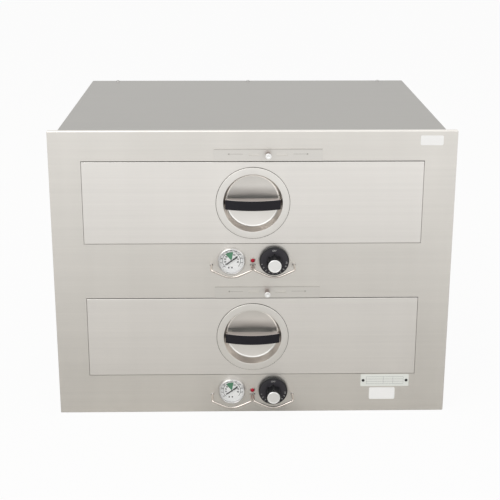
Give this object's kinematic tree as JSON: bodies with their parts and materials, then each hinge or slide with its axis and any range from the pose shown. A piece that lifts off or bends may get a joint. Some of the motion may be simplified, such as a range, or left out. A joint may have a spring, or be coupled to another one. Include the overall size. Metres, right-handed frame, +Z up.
{
  "type": "countertop warming drawer",
  "caption": "Stainless built-in food warmer: a flanged cabinet holding stacked heated drawers, each with a recessed round handle, dial thermometer, thermostat knob, guard rods and sliding vent.",
  "frame": {"origin": "middle of the flat underside that the warmer rests on", "axes": "+X to the right as seen from the front, +Y from the front to the back so the drawers open towards -Y, +Z up"},
  "size_m": [0.749, 0.6377, 0.563],
  "materials": {
    "casing_steel": "mill-finish stainless sheet",
    "front_steel": "satin stainless with a horizontal grain",
    "liner_steel": "satin stainless sheet",
    "pan_steel": "bright pressed stainless",
    "slide_steel": "plain stainless",
    "element_steel": "dull heater sheath",
    "screw_steel": "plain screws",
    "bezel_chrome": "polished",
    "aluminium_plate": "bare satin plate",
    "black_plastic": "matte black",
    "white_plastic": "matte white",
    "pilot_red": "glossy red",
    "lens_glass": "clear",
    "mineral_wool": "mineral fibre"
  },
  "bodies": {
    "cabinet": {"casing_wrap": "casing_steel", "base_panel": "casing_steel", "rear_panel": "casing_steel", "front_frame": "front_steel", "casing_screws": "screw_steel", "junction_box": "casing_steel", "junction_box_cover": "casing_steel", "cord_gland": "black_plastic", "terminal_block": "white_plastic", "rating_plate": "aluminium_plate", "lower_cavity_liner": "liner_steel", "lower_insulation": "mineral_wool", "lower_drawer_tracks": "slide_steel", "lower_heating_element": "element_steel", "lower_thermometer_case": "bezel_chrome", "lower_thermometer_dial": "white_plastic", "lower_thermometer_lens": "lens_glass", "lower_thermostat": "slide_steel", "lower_pilot_lamp": "pilot_red", "lower_control_guards": "bezel_chrome", "upper_cavity_liner": "liner_steel", "upper_insulation": "mineral_wool", "upper_drawer_tracks": "slide_steel", "upper_heating_element": "element_steel", "upper_thermometer_case": "bezel_chrome", "upper_thermometer_dial": "white_plastic", "upper_thermometer_lens": "lens_glass", "upper_thermostat": "slide_steel", "upper_pilot_lamp": "pilot_red", "upper_control_guards": "bezel_chrome"},
    "lower_drawer": {"lower_drawer_face": "front_steel", "lower_drawer_inner_panel": "liner_steel", "lower_drawer_insulation": "mineral_wool", "lower_handle_cup": "front_steel", "lower_handle_grip": "black_plastic", "lower_drawer_frame": "liner_steel", "lower_drawer_rails": "slide_steel", "lower_food_pan": "pan_steel"},
    "lower_front_roller_pair": {"lower_front_rollers": "slide_steel"},
    "lower_rear_roller_pair": {"lower_rear_rollers": "slide_steel"},
    "lower_vent_slide": {"lower_vent_plate": "front_steel", "lower_vent_knob": "bezel_chrome"},
    "lower_knob": {"lower_thermostat_knob": "black_plastic", "lower_knob_cap": "bezel_chrome"},
    "lower_needle": {"lower_thermometer_needle": "black_plastic"},
    "upper_drawer": {"upper_drawer_face": "front_steel", "upper_drawer_inner_panel": "liner_steel", "upper_drawer_insulation": "mineral_wool", "upper_handle_cup": "front_steel", "upper_handle_grip": "black_plastic", "upper_drawer_frame": "liner_steel", "upper_drawer_rails": "slide_steel", "upper_food_pan": "pan_steel"},
    "upper_front_roller_pair": {"upper_front_rollers": "slide_steel"},
    "upper_rear_roller_pair": {"upper_rear_rollers": "slide_steel"},
    "upper_vent_slide": {"upper_vent_plate": "front_steel", "upper_vent_knob": "bezel_chrome"},
    "upper_knob": {"upper_thermostat_knob": "black_plastic", "upper_knob_cap": "bezel_chrome"},
    "upper_needle": {"upper_thermometer_needle": "black_plastic"}
  },
  "joints": [
    {"name": "lower_drawer_slide", "type": "slide", "parent": "cabinet", "child": "lower_drawer", "axis": [0, -1, 0], "range_m": [0, 0.42]},
    {"name": "lower_front_roller_spin", "type": "hinge", "parent": "cabinet", "child": "lower_front_roller_pair", "pos_m": [0, -0.245, 0.1967], "axis": [1, 0, 0], "range_deg": [0, 2200]},
    {"name": "lower_rear_roller_spin", "type": "hinge", "parent": "lower_drawer", "child": "lower_rear_roller_pair", "pos_m": [0, 0.2, 0.1965], "axis": [1, 0, 0], "range_deg": [0, 2200]},
    {"name": "lower_vent_slide_travel", "type": "slide", "parent": "cabinet", "child": "lower_vent_slide", "axis": [1, 0, 0], "range_m": [0, 0.012]},
    {"name": "lower_knob_turn", "type": "hinge", "parent": "cabinet", "child": "lower_knob", "pos_m": [0.04, -0.292, 0.047], "axis": [0, 1, 0], "range_deg": [0, 270]},
    {"name": "lower_needle_turn", "type": "hinge", "parent": "cabinet", "child": "lower_needle", "pos_m": [-0.04, -0.292, 0.047], "axis": [0, 1, 0], "range_deg": [-9, 250]},
    {"name": "upper_drawer_slide", "type": "slide", "parent": "cabinet", "child": "upper_drawer", "axis": [0, -1, 0], "range_m": [0, 0.42]},
    {"name": "upper_front_roller_spin", "type": "hinge", "parent": "cabinet", "child": "upper_front_roller_pair", "pos_m": [0, -0.245, 0.4645], "axis": [1, 0, 0], "range_deg": [0, 2200]},
    {"name": "upper_rear_roller_spin", "type": "hinge", "parent": "upper_drawer", "child": "upper_rear_roller_pair", "pos_m": [0, 0.2, 0.4643], "axis": [1, 0, 0], "range_deg": [0, 2200]},
    {"name": "upper_vent_slide_travel", "type": "slide", "parent": "cabinet", "child": "upper_vent_slide", "axis": [1, 0, 0], "range_m": [0, 0.012]},
    {"name": "upper_knob_turn", "type": "hinge", "parent": "cabinet", "child": "upper_knob", "pos_m": [0.04, -0.292, 0.3148], "axis": [0, 1, 0], "range_deg": [0, 270]},
    {"name": "upper_needle_turn", "type": "hinge", "parent": "cabinet", "child": "upper_needle", "pos_m": [-0.04, -0.292, 0.3148], "axis": [0, 1, 0], "range_deg": [-9, 250]}
  ],
  "couplings": [
    {"joint": "lower_front_roller_spin", "follows": "lower_drawer_slide", "rad_per_m": 90.909},
    {"joint": "lower_rear_roller_spin", "follows": "lower_drawer_slide", "rad_per_m": 90.909},
    {"joint": "upper_front_roller_spin", "follows": "upper_drawer_slide", "rad_per_m": 90.909},
    {"joint": "upper_rear_roller_spin", "follows": "upper_drawer_slide", "rad_per_m": 90.909}
  ]
}
